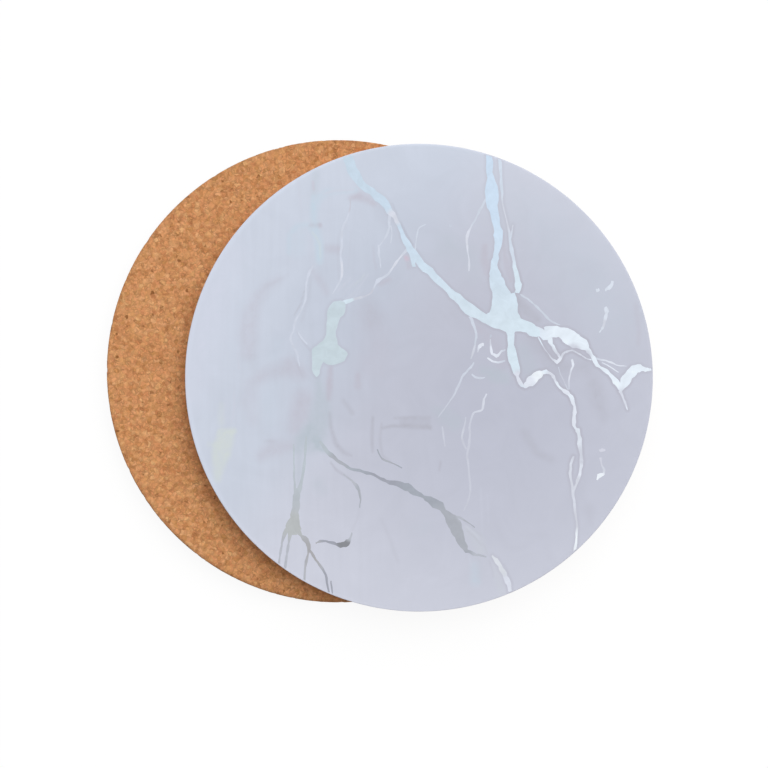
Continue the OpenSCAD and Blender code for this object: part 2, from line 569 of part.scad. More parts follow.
lower_cork_pad();
lower_glue_film();
lower_core_board();
lower_edge_lacquer();
lower_decor_laminate();
lower_main_veins();
lower_branch_veins();
lower_hairline_veins();
lower_smoky_veins();
lower_foil_flecks();
upper_cork_pad();
upper_glue_film();
upper_core_board();
upper_edge_lacquer();
upper_decor_laminate();
upper_main_veins();
upper_branch_veins();
upper_hairline_veins();
upper_smoky_veins();
upper_foil_flecks();
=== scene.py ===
"""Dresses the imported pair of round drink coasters: cork, marble laminate, pressed foil, plain stage."""
import math

import bpy
import numpy as np
from mathutils import Euler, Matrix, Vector
from mathutils.bvhtree import BVHTree


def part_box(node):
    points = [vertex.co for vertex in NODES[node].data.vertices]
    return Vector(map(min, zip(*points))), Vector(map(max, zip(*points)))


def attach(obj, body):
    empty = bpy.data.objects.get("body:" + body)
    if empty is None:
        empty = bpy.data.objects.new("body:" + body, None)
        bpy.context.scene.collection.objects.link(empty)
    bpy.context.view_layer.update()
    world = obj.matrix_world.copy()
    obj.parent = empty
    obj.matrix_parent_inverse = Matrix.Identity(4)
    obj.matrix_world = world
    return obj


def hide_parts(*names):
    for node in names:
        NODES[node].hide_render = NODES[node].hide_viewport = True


bl_info = {
    "name": "Cork and marble drink coasters",
    "version": (1, 0, 0),
    "blender": (4, 5, 0),
    "location": "View3D > Sidebar > Coasters",
    "description": "Dresses two round drink coasters: cork, marble laminate and pressed foil veins",
    "category": "Add Mesh",
}

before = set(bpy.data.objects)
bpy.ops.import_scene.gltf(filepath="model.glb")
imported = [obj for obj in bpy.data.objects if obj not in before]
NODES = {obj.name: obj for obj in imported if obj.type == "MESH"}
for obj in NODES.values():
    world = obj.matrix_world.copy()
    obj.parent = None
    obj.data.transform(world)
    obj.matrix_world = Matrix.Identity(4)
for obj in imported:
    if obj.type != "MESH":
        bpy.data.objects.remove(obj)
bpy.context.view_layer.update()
MM = 0.001

# The upper coaster stands upright in the frame, so the sizes of both are read from it
CORK_LOW, CORK_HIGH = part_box("upper_cork_pad")
SHEET_LOW, SHEET_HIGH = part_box("upper_decor_laminate")
DISC_RADIUS = (CORK_HIGH.x - CORK_LOW.x) / 2
COASTER_HEIGHT = SHEET_HIGH.z - CORK_LOW.z
UPPER_CENTRE = Vector(((CORK_LOW.x + CORK_HIGH.x) / 2, (CORK_LOW.y + CORK_HIGH.y) / 2, CORK_LOW.z))
COASTERS = ("lower", "upper")

# Height of the printed face over the coaster's foot, in shares of its radius
PRINT_LEVEL = 0.1
# How far a modelled piece's box may lie from the box of its CAD node
MOST_MISFIT = 0.3 * MM
# A step of a profile whose radius changes by a smaller share than this keeps it
LEAST_RESIZE = 1e-9
# The distance to the bright foil is kept up to this, in millimetres
FOIL_GAP_MOST = 3.0
# The tables of the print and the foil are in thousandths of the radius
PER_RADIUS = 1000


def linear(value):
    """An sRGB hex code as the linear colour, with alpha 1, that shaders take. Other values stay."""
    if not isinstance(value, str):
        return value
    shares = [int(value[i:i + 2], 16) / 255 for i in (1, 3, 5)]
    return tuple(s / 12.92 if s <= 0.04045 else ((s + 0.055) / 1.055) ** 2.4 for s in shares) + (1.0,)


def colour_prop(name, description, code):
    return bpy.props.FloatVectorProperty(
        name=name, description=description, default=linear(code), size=4, min=0, max=1, subtype="COLOR")


def length_prop(name, description, default, low, high):
    return bpy.props.FloatProperty(
        name=name, description=description, default=default, min=low, max=high, unit="LENGTH")


class CoasterSizes(bpy.types.PropertyGroup):
    disc_radius: length_prop(
        "Coaster radius", "Radius of each coaster, as the frame has it", DISC_RADIUS, 0.03, 0.08)
    lower_turn: bpy.props.FloatProperty(
        name="Turn of the lower coaster", description="How the lower coaster's face-down print is turned",
        default=math.radians(140), subtype="ANGLE", unit="ROTATION")
    sheet_round: length_prop(
        "Laminate edge", "Radius that softens the laminate's outer edge", 0.2 * MM, 0.05 * MM, 0.28 * MM)
    cork_round: length_prop(
        "Cork edge", "Radius that softens the cork's outer edge", 0.35 * MM, 0.1 * MM, 0.8 * MM)
    foil_rise: length_prop(
        "Foil rise", "How far the foil stands above the laminate", 0.01 * MM, 0.002 * MM, 0.03 * MM)
    sheet_spans: bpy.props.IntProperty(
        name="Laminate grid", description="Squares across the laminate's face, which carry its print",
        default=268, min=40, max=280)
    cork_spans: bpy.props.IntProperty(
        name="Cork grid", description="Squares across the cork's face, which carry its relief",
        default=288, min=40, max=296)
    granule: length_prop(
        "Cork granule", "Width of a pressed cork granule", 0.8 * MM, 0.4 * MM, 3 * MM)
    granule_relief: length_prop(
        "Granule relief", "Depth of the seams between cork granules", 0.06 * MM, 0, 0.3 * MM)
    pit_depth: length_prop(
        "Pit depth", "Depth of the pits where a granule has broken out", 0.16 * MM, 0, 0.4 * MM)


class CoasterColours(bpy.types.PropertyGroup):
    cork_pale: colour_prop("Pale cork", "Palest granules", "#EFB781")
    cork_body: colour_prop("Cork", "Usual granules", "#E09F6A")
    cork_dark: colour_prop("Dark cork", "Darker granules", "#C1814E")
    cork_bark: colour_prop("Bark", "Specks of bark between the granules", "#85552D")
    marble_heart: colour_prop("Marble, middle", "Ground of the print in the middle", "#C4C7D7")
    marble_field: colour_prop("Marble, field", "Ground of the print further out", "#CCCFDE")
    marble_rim: colour_prop("Marble, rim", "Ground of the print at the rim", "#D9DCEA")
    lacquer: colour_prop("Edge lacquer", "Sealer on the cut edge of the board", "#5C4230")
    floor: colour_prop("Floor", "Plain floor under the coasters", "#E8E8EA")


class StageSettings(bpy.types.PropertyGroup):
    camera_height: length_prop("Camera height", "Height of the camera over the upper face", 0.48, 0.2, 2)
    frame_width: length_prop(
        "Frame width", "Width that the picture shows at the upper face", 0.1641, 0.05, 1)
    key_watts: bpy.props.FloatProperty(
        name="Key light", description="Power of the soft light at the upper right, in watts",
        default=18.2, min=0, max=100, unit="POWER")
    ambient: bpy.props.FloatProperty(
        name="Ambient light", description="Level of the even light from all round",
        default=0.37, min=0, max=1, subtype="FACTOR")


def sizes():
    return bpy.context.scene.coaster_sizes


def colours():
    return bpy.context.scene.coaster_colours


def add_node(tree, kind, inputs=None, stops=None, **settings):
    """Adds one node, sets its options, fills or links its inputs, and gives a ramp its stops."""
    made = tree.nodes.new(kind)
    for name, value in settings.items():
        setattr(made, name, value)
    for socket, value in (inputs or {}).items():
        if isinstance(value, bpy.types.NodeSocket):
            tree.links.new(value, made.inputs[socket])
        else:
            made.inputs[socket].default_value = linear(value)
    if stops:
        elements = made.color_ramp.elements
        for element, (place, colour) in ((elements[0], stops[0]), (elements[-1], stops[-1])):
            element.position, element.color = place, linear(colour)
        for place, colour in stops[1:-1]:
            elements.new(place).color = linear(colour)
    return made


def maths(tree, way, *values, clamp=False):
    """One sum on numbers or sockets, named as Blender's Math node names it."""
    return add_node(
        tree, "ShaderNodeMath", dict(enumerate(values)), operation=way, use_clamp=clamp).outputs[0]


def product(tree, value, *factors):
    for factor in factors:
        value = maths(tree, "MULTIPLY", value, factor)
    return value


def vector_maths(tree, way, *values):
    """One sum on vectors. DISTANCE and LENGTH give a number, and the others a vector."""
    made = add_node(tree, "ShaderNodeVectorMath", dict(enumerate(values)), operation=way)
    return made.outputs["Value" if way in ("DISTANCE", "LENGTH") else "Vector"]


def scaled(tree, vector, factor):
    return add_node(
        tree, "ShaderNodeVectorMath", {0: vector, "Scale": factor}, operation="SCALE").outputs["Vector"]


def spread(tree, value, given, wanted=(0.0, 1.0), smooth=False):
    """A number that goes along the wanted range as value goes along the given one, and stops there."""
    inputs = dict(enumerate((value, *given, *wanted)))
    way = "SMOOTHSTEP" if smooth else "LINEAR"
    return add_node(tree, "ShaderNodeMapRange", inputs, interpolation_type=way).outputs[0]


def mixed(tree, share, first, second, blend="MIX"):
    """The first colour, turned into the second by a share from 0 to 1."""
    return add_node(tree, "ShaderNodeMix", {
        0: share, 6: first, 7: second}, data_type="RGBA", blend_type=blend).outputs[2]


def tone_ramp(tree, value, *stops):
    return add_node(tree, "ShaderNodeValToRGB", {0: value}, stops=stops).outputs[0]


def noise(tree, place, scale, detail=2.0, roughness=0.5, distortion=0.0):
    return add_node(tree, "ShaderNodeTexNoise", {
        "Vector": place, "Scale": scale, "Detail": detail, "Roughness": roughness,
        "Distortion": distortion}).outputs["Fac"]


def bumped(tree, height, strength, depth_mm):
    """A normal bent by a height, as if its relief were so many millimetres deep."""
    return add_node(tree, "ShaderNodeBump", {
        "Strength": strength, "Distance": depth_mm * MM, "Height": height}).outputs["Normal"]


def reach_from(tree, place, spot):
    """How far a place on the print lies from a spot on its face, in shares of the radius."""
    return vector_maths(tree, "DISTANCE", place, (*spot, PRINT_LEVEL))


def new_material(name):
    """A material with an empty node tree."""
    material = bpy.data.materials.new(name)
    material.use_nodes = True
    material.node_tree.nodes.clear()
    return material, material.node_tree


def finish_material(tree, inputs):
    shader = add_node(tree, "ShaderNodeBsdfPrincipled", inputs)
    add_node(tree, "ShaderNodeOutputMaterial", {"Surface": shader.outputs["BSDF"]})


def coaster_place(coaster):
    """Where a coaster, modelled standing on its cork at the origin, lies in the frame."""
    if coaster == "upper":
        return UPPER_CENTRE.copy(), Euler((0, 0, 0))
    return Vector((0, 0, COASTER_HEIGHT)), Euler((math.pi, 0, sizes().lower_turn))


def print_place(tree, coaster):
    """Place on a coaster's own print, in shares of its radius, from its middle."""
    here = add_node(tree, "ShaderNodeTexCoord")
    where, turn = coaster_place(coaster)
    radius = sizes().disc_radius
    return add_node(tree, "ShaderNodeMapping", {
        "Vector": here.outputs["Object"], "Location": where, "Rotation": turn, "Scale": (radius,) * 3,
    }, vector_type="TEXTURE").outputs["Vector"]


def place_in_mm(tree):
    """Place in the frame, in millimetres."""
    here = add_node(tree, "ShaderNodeTexCoord")
    return scaled(tree, here.outputs["Object"], 1 / MM)


def start_fresh():
    """Leaves edit mode and deselects everything, because an operator acts on all that is selected."""
    if bpy.context.object and bpy.context.object.mode != "OBJECT":
        bpy.ops.object.mode_set(mode="OBJECT")
    bpy.ops.object.select_all(action="DESELECT")


def choose(piece):
    """Leaves one piece selected and active."""
    start_fresh()
    piece.select_set(True)
    bpy.context.view_layer.objects.active = piece


def round_edge(outer, level, radius, steps, way):
    """Radius and height of each step round a softened edge, from the flat face to the side wall."""
    turns = [math.pi / 2 * i / steps for i in range(steps + 1)]
    return [
        (outer - radius + radius * math.sin(a), level - way * radius * (1 - math.cos(a)))
        for a in turns
    ]


def shaped_disc(name, spans, profile):
    """A closed disc: a circle filled with a grid, its outline pulled along the profile and capped."""
    start_fresh()
    bpy.ops.mesh.primitive_circle_add(
        vertices=4 * spans, radius=profile[0][0], fill_type="NOTHING", enter_editmode=True,
        location=(0, 0, profile[0][1]))
    piece = bpy.context.object
    piece.name = name
    piece.data.name = name
    bpy.ops.mesh.select_mode(type="EDGE")
    bpy.ops.mesh.select_all(action="SELECT")
    bpy.ops.mesh.fill_grid(span=spans, offset=0, use_interp_simple=True)
    bpy.ops.mesh.select_all(action="SELECT")
    bpy.ops.mesh.region_to_loop()
    for (radius, level), (next_radius, next_level) in zip(profile, profile[1:]):
        bpy.ops.mesh.extrude_edges_move(TRANSFORM_OT_translate={"value": (0, 0, next_level - level)})
        share = next_radius / radius
        if abs(share - 1) > LEAST_RESIZE:
            bpy.ops.transform.resize(value=(share, share, 1), center_override=(0, 0, next_level))
    bpy.ops.mesh.edge_face_add()
    bpy.ops.mesh.select_all(action="SELECT")
    bpy.ops.mesh.normals_make_consistent(inside=False)
    bpy.ops.object.mode_set(mode="OBJECT")
    bpy.ops.object.transform_apply(location=True, rotation=True, scale=True)
    # The vertices and faces of one closed piece are two more than its edges
    if len(piece.data.vertices) + len(piece.data.polygons) != len(piece.data.edges) + 2:
        raise RuntimeError(f"{name} isn't one closed disc")
    return piece


def own_places(piece):
    """The vertices of a piece as an array."""
    places = np.zeros(len(piece.data.vertices) * 3, np.float32)
    piece.data.vertices.foreach_get("co", places)
    return places.reshape(-1, 3)


def lay_in_frame(model, coaster, name, node):
    """Copies the finished model of a piece to where it lies in the frame, in place of its CAD node."""
    choose(model)
    bpy.ops.object.duplicate(linked=False)
    piece = bpy.context.object
    piece.name = name
    piece.data.name = name
    piece.location, piece.rotation_euler = coaster_place(coaster)
    bpy.ops.object.transform_apply(location=True, rotation=True, scale=False)
    low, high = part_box(node)
    places = own_places(piece)
    misfit = np.abs(np.array([places.min(0) - np.array(low), places.max(0) - np.array(high)]))
    if misfit.max() > MOST_MISFIT:
        raise RuntimeError(f"{name} doesn't lie where {node} is")
    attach(piece, f"{coaster}_coaster")
    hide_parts(node)
    return piece


def drop_model(model):
    choose(model)
    bpy.ops.object.delete()


# Inks of the marble print; shade and slate also lay painted shade beside the foil
INKS = {
    "slate": "#B9BAC7", "shade": "#A9ACBB", "rose": "#C3BDCB", "blush": "#D8BFD0", "teal": "#BFCAD5",
    "frost": "#CCDCEB", "lilac": "#D5D9E8", "mist": "#DCE1F1", "moss": "#DAE2E3",
}
# Washes of the print and of painted shade, drawn with a soft brush. Each has its ink, how strong it is,
# how far its edge fades, and stations of across, up and width. All but the strength are in thousandths of
# the radius.
WASHES = [
    # Wide, hardly seen tones: cooler at the upper right, paler at the left rim, darker round the hub, and
    # painted shade beside the diagonal vein
    ("teal", 0.16, 300, (420, 720, 200), (640, 520, 300), (820, 260, 200)),
    ("frost", 0.13, 300, (500, 720, 200), (680, 520, 300), (840, 260, 200)),
    ("mist", 0.75, 240, (-800, 520, 60), (-900, 270, 140), (-980, -50, 100)),
    ("slate", 0.12, 200, (-20, 280, 120), (150, 260, 200), (420, 340, 180)),
    ("shade", 0.12, 60, (-170, 720, 40), (-130, 660, 60), (-100, 600, 40)),
    # Painted shade, grey, under the right branch and round its loops
    ("slate", 0.5, 90, (491, 165, 50), (550, 95, 70), (620, 45, 70), (709, 45, 50)),
    ("slate", 0.5, 80, (748, -25, 50), (768, -105, 50), (788, -165, 30)),
    ("slate", 0.6, 30, (423, 335, 30), (451, 291, 50), (511, 247, 26)),
    # Painted shade: a dark line along the right side of the diagonal vein where it is thin
    ("shade", 0.5, 9, (-79, 665, 3), (-62, 632, 5), (-44, 597, 5), (-28, 569, 3)),
    ("shade", 0.3, 9, (-114, 746, 3), (-94, 700, 4)),
    # Grey wisps across the middle, and faint ones elsewhere
    ("slate", 0.4, 14, (-66, -190, 36), (32, -190, 38)),
    ("slate", 0.6, 12, (-104, -173, 8), (-30, -169, 11), (47, -170, 10)),
    ("slate", 0.8, 14, (-158, -216, 7), (-112, -206, 10), (-50, -209, 18), (47, -212, 18)),
    ("slate", 0.6, 14, (-197, -170, 10), (-201, -240, 16), (-198, -315, 10)),
    ("slate", 0.42, 12, (-160, -195, 8), (-166, -265, 12), (-158, -330, 10), (-120, -362, 8)),
    ("slate", 0.6, 20, (-382, -150, 8), (-378, -205, 14), (-357, -280, 18), (-324, -319, 16),
        (-290, -332, 6)),
    ("slate", 0.4, 20, (-322, -100, 18), (-285, -150, 20)),
    ("slate", 0.18, 20, (-158, -608, 12), (-120, -700, 14), (-89, -788, 10)),
    ("slate", 0.4, 40, (451, -234, 30), (506, -320, 36), (565, -350, 24)),
    ("slate", 0.2, 45, (727, -565, 40), (733, -615, 30)),
    ("slate", 0.1, 40, (511, -670, 20), (542, -675, 20)),
    ("slate", 0.12, 20, (-560, 440, 10), (-620, 405, 12), (-655, 390, 20)),
    ("slate", 0.12, 40, (-713, 85, 50), (-708, 50, 50)),
    ("slate", 0.3, 80, (-220, 330, 50), (-190, 260, 80)),
    # Rose stains
    ("rose", 0.55, 30, (-290, 768, 20), (-255, 774, 34), (-222, 764, 32), (-192, 742, 18)),
    ("rose", 0.34, 30, (-395, 552, 34), (-345, 548, 34)),
    ("rose", 0.45, 18, (-452, 654, 14), (-424, 648, 18)),
    ("rose", 0.3, 60, (-600, 420, 16), (-655, 382, 30), (-700, 325, 52), (-722, 255, 70), (-730, 180, 76),
        (-728, 110, 60)),
    ("rose", 0.16, 50, (-720, -30, 60), (-725, -100, 80), (-710, -180, 50)),
    ("rose", 0.25, 34, (-455, 452, 26), (-422, 415, 30), (-396, 366, 24)),
    ("rose", 0.4, 60, (-680, 0, 40), (-620, 25, 66), (-560, 50, 70), (-510, 20, 60)),
    ("rose", 0.38, 60, (-498, -90, 80), (-512, -160, 80), (-532, -215, 50)),
    ("rose", 0.3, 50, (-550, -290, 40), (-620, -300, 64), (-672, -334, 44)),
    ("rose", 0.55, 22, (-378, 40, 20), (-382, -30, 28), (-387, -90, 20)),
    ("rose", 0.4, 24, (-262, 10, 18), (-262, -35, 30)),
    ("rose", 0.42, 22, (282, 560, 24), (278, 510, 34), (290, 450, 26)),
    ("rose", 0.32, 14, (358, 610, 8), (366, 540, 18), (378, 470, 28), (392, 415, 18)),
    ("blush", 0.6, 14, (-55, 514, 18), (-51, 509, 20)),
    ("rose", 0.4, 20, (-50, 492, 12), (-44, 470, 14)),
    ("rose", 0.45, 25, (-165, 402, 18), (-128, 420, 18)),
    ("rose", 0.2, 120, (-230, 260, 80), (-180, 180, 120), (-200, 60, 120)),
    ("rose", 0.35, 30, (926, 310, 12), (940, 205, 18), (938, 145, 10)),
    ("rose", 0.3, 50, (235, 220, 30), (323, 159, 50), (352, 58, 40)),
    # Teal smears, from the island down to the trunk and the dark vein and in a few other places
    ("teal", 0.58, 50, (-437, 10, 16), (-426, -45, 34), (-421, -90, 56), (-421, -130, 76),
        (-430, -185, 86), (-442, -235, 100), (-456, -272, 96)),
    ("teal", 0.62, 45, (-470, -225, 50), (-510, -268, 44), (-518, -310, 30)),
    ("teal", 0.75, 20, (-442, -262, 40), (-424, -300, 24), (-404, -312, 16)),
    ("teal", 0.35, 24, (-508, -320, 24), (-512, -400, 26), (-518, -460, 16)),
    ("teal", 0.5, 40, (275, 30, 30), (320, 12, 60), (365, 0, 50)),
    ("teal", 0.35, 60, (445, 120, 50), (470, 40, 70)),
    ("teal", 0.36, 50, (70, -140, 30), (110, -165, 70), (150, -190, 70)),
    ("teal", 0.25, 50, (-430, -455, 50), (-415, -480, 40)),
    ("teal", 0.12, 60, (-20, -650, 50), (30, -640, 60)),
    ("frost", 0.45, 40, (236, -800, 30), (240, -870, 40)),
    ("teal", 0.14, 20, (258, -790, 16), (258, -830, 24), (254, -870, 16)),
    ("teal", 0.25, 90, (119, 560, 100), (221, 520, 80), (231, 440, 60)),
    # Frosty streak that runs off the top of the diagonal vein, and pale patches near it
    ("frost", 0.7, 34, (-270, 801, 12), (-340, 797, 14), (-396, 793, 26), (-434, 764, 38),
        (-447, 722, 32), (-450, 682, 26), (-441, 645, 26), (-428, 600, 26), (-422, 550, 30),
        (-427, 500, 24)),
    ("frost", 0.85, 18, (-452, 775, 12), (-451, 725, 22), (-450, 680, 14)),
    ("frost", 0.6, 26, (-557, 535, 16), (-555, 610, 18), (-521, 648, 20), (-478, 656, 22),
        (-444, 614, 28), (-427, 555, 30), (-422, 496, 22)),
    ("frost", 0.25, 40, (-510, 610, 60), (-516, 540, 60)),
    ("teal", 0.35, 30, (-440, 880, 28), (-446, 790, 34)),
    ("frost", 0.3, 40, (-318, 975, 44), (-306, 920, 44), (-286, 868, 44)),
    ("frost", 0.15, 60, (-600, 140, 60), (-640, -90, 70), (-630, -200, 60)),
    # Lilac wisps
    ("lilac", 0.85, 14, (-405, 786, 6), (-360, 800, 12), (-280, 804, 8)),
    ("lilac", 0.6, 8, (-776, 105, 6), (-770, 40, 8)),
    ("lilac", 0.6, 10, (-790, -60, 6), (-788, -130, 10), (-802, -195, 6)),
    ("lilac", 0.35, 18, (-820, -100, 12), (-838, -180, 16)),
    # Moss patch at the left rim
    ("moss", 0.85, 30, (-800, -232, 26), (-830, -270, 76), (-845, -320, 80), (-855, -370, 56),
        (-860, -430, 30)),
    ("moss", 0.8, 22, (-790, -227, 18), (-842, -238, 44)),
    ("moss", 0.4, 30, (-845, -120, 20), (-845, -190, 30)),
    ("moss", 0.5, 34, (-896, -284, 14), (-860, -292, 30)),
    # Fine hatching beside the foot of the dark vein and the bright tail
    ("moss", 0.16, 40, (208, -650, 30), (246, -692, 60), (266, -738, 40)),
    ("moss", 0.14, 30, (318, -800, 16), (335, -855, 34), (356, -920, 30)),
    ("slate", 0.28, 9, (196, -618, 4), (232, -646, 5), (268, -676, 4)),
    ("slate", 0.38, 9, (204, -652, 4), (240, -684, 5), (266, -716, 4)),
    ("lilac", 0.6, 9, (200, -634, 4), (236, -664, 6), (272, -704, 4)),
    ("slate", 0.25, 10, (262, -690, 4), (282, -724, 6), (292, -758, 4)),
    ("slate", 0.32, 10, (300, -782, 6), (312, -816, 7), (318, -852, 4)),
    ("slate", 0.28, 10, (364, -796, 5), (384, -842, 7), (403, -886, 5)),
    ("lilac", 0.75, 12, (214, -762, 5), (223, -802, 5)),
    ("lilac", 0.55, 10, (184, -744, 5), (190, -776, 4)),
    ("lilac", 0.35, 12, (264, -470, 5), (268, -560, 7), (270, -660, 5)),
    ("lilac", 0.3, 12, (292, -500, 5), (297, -620, 6)),
    ("slate", 0.62, 14, (93, -360, 8), (87, -396, 6)),
    # Pale twigs and their dark companions on the left half
    ("lilac", 0.45, 10, (-517, 840, 5), (-513, 790, 8), (-502, 722, 5)),
    ("lilac", 0.4, 9, (-335, 346, 5), (-300, 384, 6), (-268, 418, 4)),
    ("lilac", 0.5, 9, (-314, 332, 5), (-268, 372, 7), (-236, 416, 7), (-216, 444, 4)),
    ("lilac", 0.7, 9, (-346, 372, 4), (-318, 400, 6), (-290, 426, 4)),
    ("lilac", 0.35, 9, (-290, 334, 4), (-250, 370, 6)),
    ("rose", 0.26, 14, (-196, 560, 6), (-190, 500, 9), (-182, 464, 5)),
    ("slate", 0.12, 14, (-292, 620, 6), (-297, 540, 10), (-302, 470, 6)),
    ("slate", 0.18, 16, (-462, 430, 8), (-470, 350, 12), (-502, 240, 10)),
    # A net of hair lines between the outer hair and the island
    ("lilac", 0.25, 10, (-508, 200, 4), (-480, 160, 6), (-453, 127, 4)),
    ("lilac", 0.2, 10, (-536, 172, 4), (-508, 132, 6), (-516, 72, 4)),
    ("lilac", 0.3, 10, (-488, 106, 4), (-492, 50, 6), (-470, 10, 4)),
    ("slate", 0.4, 12, (-522, 196, 4), (-492, 150, 6), (-466, 116, 4)),
    ("slate", 0.28, 12, (-528, 130, 4), (-532, 80, 6), (-500, 10, 4)),
    ("slate", 0.18, 14, (-320, 648, 5), (-346, 600, 6), (-348, 500, 8), (-342, 420, 6)),
    ("slate", 0.35, 14, (-660, -272, 6), (-635, -270, 10), (-610, -272, 6)),
    ("slate", 0.06, 16, (-757, 112, 6), (-754, 20, 8), (-770, -90, 8), (-786, -190, 6)),
    # Faint lines that lead into the short dark strokes
    ("slate", 0.9, 12, (-377, -362, 4), (-354, -394, 6), (-327, -411, 6), (-295, -432, 5)),
    ("slate", 0.26, 12, (-254, -540, 4), (-262, -600, 6), (-284, -650, 5)),
    ("lilac", 0.22, 10, (-356, -372, 4), (-316, -388, 6), (-280, -404, 4)),
    # Small marks round the pale ghost vein at the upper left
    ("moss", 0.36, 8, (-456, 622, 6), (-437, 600, 10), (-423, 570, 10), (-421, 516, 6)),
    ("rose", 0.55, 12, (-466, 650, 14), (-424, 652, 18)),
    ("blush", 0.35, 12, (-452, 838, 10), (-450, 806, 10)),
    ("slate", 0.4, 6, (-480, 400, 4), (-504, 320, 6), (-532, 264, 5)),
    ("moss", 0.25, 5, (-222, 450, 4), (-255, 415, 6), (-284, 388, 4)),
]
# Tints the foil takes on in spots, from bare white to deep grey: partly the foil's own tint and partly
# painted reflection and highlight
FOIL_TINTS = {
    "white": "#F0F6FD", "bright": "#E4E9F4", "icy": "#DBEAF5", "pale": "#DBDFEB", "soft": "#D3D7E3",
    "dull": "#CACDDA", "lead": "#BCC0CA", "sage": "#BBBFC1", "steel": "#B0B4BD", "ash": "#AEAEB2",
    "iron": "#A5A8B4", "deep_grey": "#8E9096",
}
# The drift of tint across the face and the spots are partly painted reflection of the studio in the foil
# Finishes of the foil. Each has its CAD node, its slot and its name, two colours, low and high, at the
# left and two at the right, where left turns into right and low into high, and then its spots of
# another tint: across, up, reach and tint. The places and reaches are in thousandths of the radius.
FOILS = [
    ("main_veins", "icy_foil", "icy silver", ("#CBD9E1", "#CCDCEB"), ("#D8E6F1", "#D1E3F6"),
     (-300, 160), (200, 750), [
        (480, 210, 120, "icy"), (-105, 685, 50, "pale")]),
    ("branch_veins", "pearl_foil", "pearl", ("#DCE0E8", "#D5DFED"), ("#D3D6E1", "#EAF3FD"),
     (420, 600), (-550, 20), [
        (610, 70, 80, "soft"), (410, 80, 160, "icy"), (545, 115, 40, "dull"), (596, 70, 30, "bright"),
        (660, 114, 45, "soft"), (712, 94, 35, "soft"), (372, 690, 110, "soft"), (430, 0, 45, "pale"),
        (505, 6, 45, "white"), (577, 12, 45, "pale"), (468, -18, 40, "bright"), (630, -54, 30, "bright"),
        (668, -150, 80, "bright"), (694, -340, 60, "soft"), (690, -395, 40, "bright"),
        (674, -520, 60, "pale"), (686, -700, 70, "white"), (385, -880, 60, "pale"),
        (420, 420, 100, "icy"), (870, -90, 60, "pale")]),
    ("hairline_veins", "silver_foil", "silver", ("#D0D5E3", "#D2D8E6"), ("#CDD0DD", "#D1D8E5"),
     (-280, 120), (-300, 150), [
        (310, 100, 60, "bright"), (303, 158, 30, "soft"), (657, 60, 50, "bright"), (622, -4, 45, "dull"),
        (652, 2, 35, "pale"), (830, 55, 80, "bright"), (235, 110, 40, "soft"), (271, 140, 30, "bright"),
        (208, 590, 80, "pale"), (-290, 745, 50, "dull"), (-330, 460, 50, "pale"), (-215, 355, 45, "dull"),
        (-300, 331, 35, "icy"), (-262, 340, 25, "soft"), (-95, 492, 60, "pale"), (280, -100, 90, "pale"),
        (220, 480, 60, "pale"), (186, -238, 30, "soft")]),
    ("smoky_veins", "pewter_foil", "pewter", ("#B7BAC1", "#BFC8D0"), ("#ABB0BA", "#A7ADB8"),
     (-460, -200), (-720, -340), [
        (-370, -700, 80, "iron"), (-315, -710, 50, "deep_grey"), (-292, -675, 35, "lead"),
        (-150, -440, 100, "iron"), (-345, -355, 60, "steel"), (265, -758, 60, "lead"),
        (140, -640, 140, "steel"), (198, -712, 45, "steel"), (178, -597, 25, "lead"),
        (-535, -630, 80, "sage"), (-480, -760, 100, "ash"), (-570, -790, 120, "lead"),
        (-390, -880, 90, "iron"), (-290, -440, 50, "lead"), (-253, -505, 45, "steel"),
        (-130, -358, 50, "steel")]),
    ("foil_flecks", "pearl_foil", "pearl flecks", ("#C5C9D6", "#C9CFDD"), ("#D5D7E4", "#DCE3EF"),
     (300, 600), (-200, 100), [
        (770, -420, 35, "white"), (792, -390, 22, "soft"), (794, 232, 24, "soft")]),
]


def wash_cover(places, stations, fade):
    """How far a soft stroke covers each place, from 0 to 1."""
    cover = np.zeros(len(places))
    for (x, y, width), (next_x, next_y, next_width) in zip(stations, stations[1:]):
        way = np.array([next_x - x, next_y - y])
        offset = places - np.array([x, y])
        share = np.clip(offset @ way / (way @ way), 0, 1)
        half_width = (width + share * (next_width - width)) / 2
        gap = np.linalg.norm(offset - share[:, None] * way, axis=1) - half_width
        cover = np.maximum(cover, np.clip(0.5 - gap / fade, 0, 1))
    return cover * cover * (3 - 2 * cover)


def foil_tree(*names):
    """The shown faces of CAD foil nodes as one search tree."""
    corners, faces = [], []
    for name in names:
        mesh = NODES[name].data
        start = len(corners)
        corners.extend(v.co.copy() for v in mesh.vertices)
        faces.extend([start + i for i in polygon.vertices] for polygon in mesh.polygons)
    return BVHTree.FromPolygons(corners, faces)


def keep_attribute(piece, name, values):
    attribute = piece.data.attributes.new(name, "FLOAT", "POINT")
    attribute.data.foreach_set("value", values.astype(np.float32))


def add_print(sheet):
    """Stores the washes, and each vertex's distance to the bright foil, on the laminate's mesh."""
    places = own_places(sheet)
    shares = places[:, :2] / sizes().disc_radius
    for ink in INKS:
        clear = np.ones(len(shares))
        for wash_ink, strength, fade, *stations in WASHES:
            if wash_ink == ink:
                clear *= 1 - strength * wash_cover(
                    shares, np.array(stations) / PER_RADIUS, fade / PER_RADIUS)
        keep_attribute(sheet, f"{ink}_wash", 1 - clear)
    tree = foil_tree("upper_main_veins", "upper_branch_veins")
    face_level = COASTER_HEIGHT + UPPER_CENTRE.z
    gaps = np.full(len(places), FOIL_GAP_MOST)
    for i, (x, y, z) in enumerate(places.tolist()):
        spot = (x + UPPER_CENTRE.x, y + UPPER_CENTRE.y, face_level)
        distance = tree.find_nearest(spot, FOIL_GAP_MOST * MM)[3]
        if distance is not None:
            gaps[i] = distance / MM
    keep_attribute(sheet, "foil_gap", gaps)


